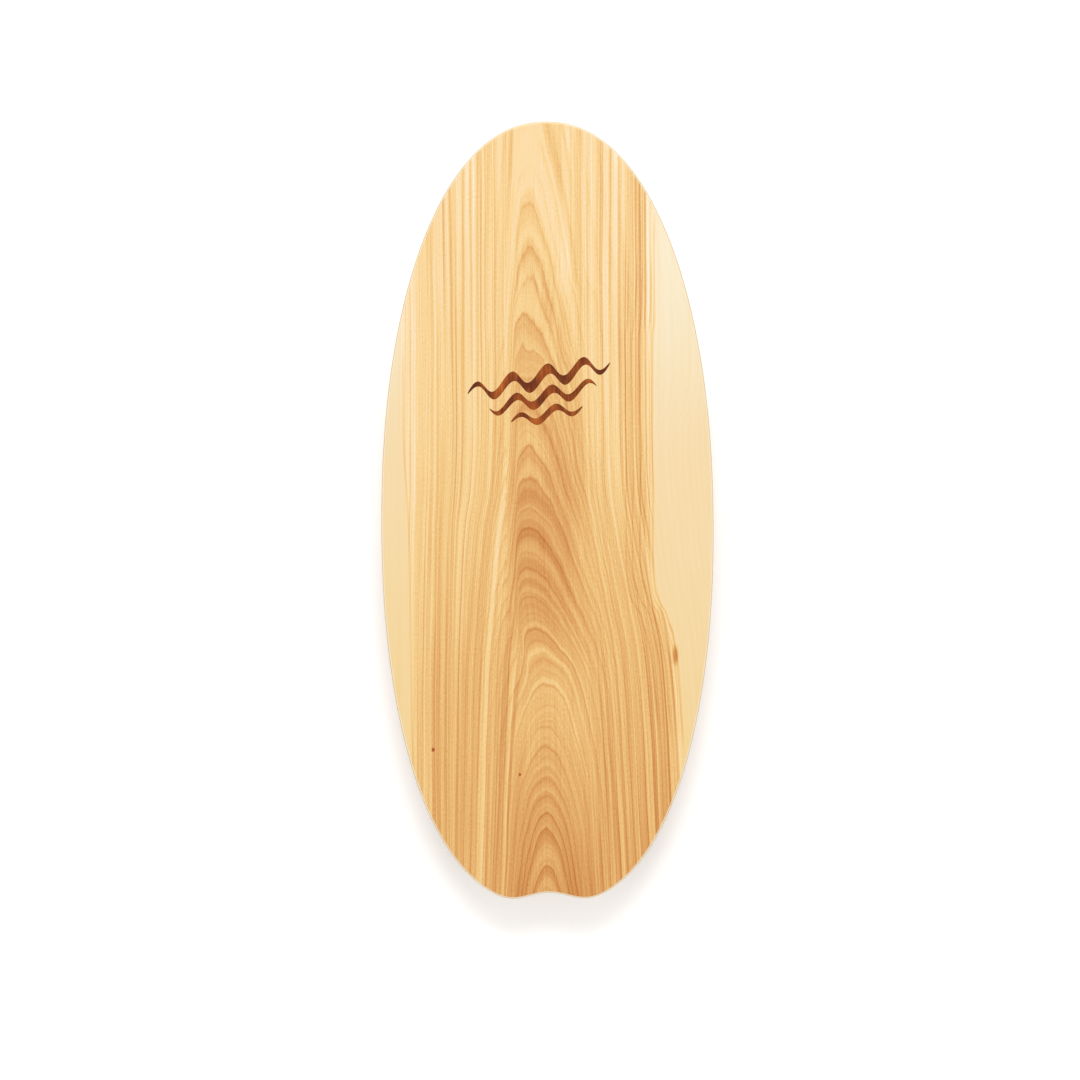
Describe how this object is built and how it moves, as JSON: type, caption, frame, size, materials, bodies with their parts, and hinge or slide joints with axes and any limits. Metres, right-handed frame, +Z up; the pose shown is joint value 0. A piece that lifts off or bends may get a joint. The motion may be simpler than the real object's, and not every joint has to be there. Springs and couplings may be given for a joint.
{
  "type": "balance board",
  "caption": "Egg-shaped plywood deck with a swallow tail and stop rails underneath, riding on a loose cork-covered roller; the roller rolls along the deck between the stops.",
  "frame": {"origin": "on the floor under the middle of the deck, where the roller stands when the deck is level on it", "axes": "+Z up out of the deck's top face, +Y along the deck towards its nose, +X to the right, along the roller's axis"},
  "size_m": [0.342, 0.8, 0.1153],
  "materials": {
    "ash_face": "satin clear lacquer on crown-cut ash veneer",
    "ash_back": "satin clear lacquer on ash veneer",
    "birch_end_grain": "sanded and lacquered birch, grain across the deck",
    "birch_long_grain": "sanded and lacquered birch, grain along the deck",
    "beech_rail": "oiled beech",
    "screw_steel": "bright zinc plated",
    "pad_rubber": "matte",
    "roller_cork": "pressed cork granules, sanded",
    "tube_plastic": "matte extruded tube",
    "cap_birch": "turned birch plywood, oiled"
  },
  "bodies": {
    "deck": {"face_veneer": "ash_face", "core_ply_1": "birch_end_grain", "core_ply_2": "birch_long_grain", "core_ply_3": "birch_end_grain", "core_ply_4": "birch_long_grain", "core_ply_5": "birch_end_grain", "core_ply_6": "birch_long_grain", "core_ply_7": "birch_end_grain", "core_ply_8": "birch_long_grain", "core_ply_9": "birch_end_grain", "back_veneer": "ash_back", "nose_stop_rail": "beech_rail", "tail_stop_rail": "beech_rail", "nose_stop_screws": "screw_steel", "tail_stop_screws": "screw_steel", "nose_floor_pads": "pad_rubber", "tail_floor_pads": "pad_rubber"},
    "roller_carriage": {"roller_core_tube": "tube_plastic"},
    "roller": {"roller_cork_cover": "roller_cork", "roller_left_cap": "cap_birch", "roller_right_cap": "cap_birch"}
  },
  "joints": [
    {"name": "roller_travel", "type": "slide", "parent": "deck", "child": "roller_carriage", "axis": [0, 1, 0], "range_m": [-0.254, 0.254]},
    {"name": "roller_spin", "type": "hinge", "parent": "roller_carriage", "child": "roller", "pos_m": [0, 0, 0.05], "axis": [1, 0, 0], "range_deg": [-300, 300]}
  ],
  "couplings": [
    {"joint": "roller_spin", "follows": "roller_travel", "rad_per_m": 20}
  ]
}
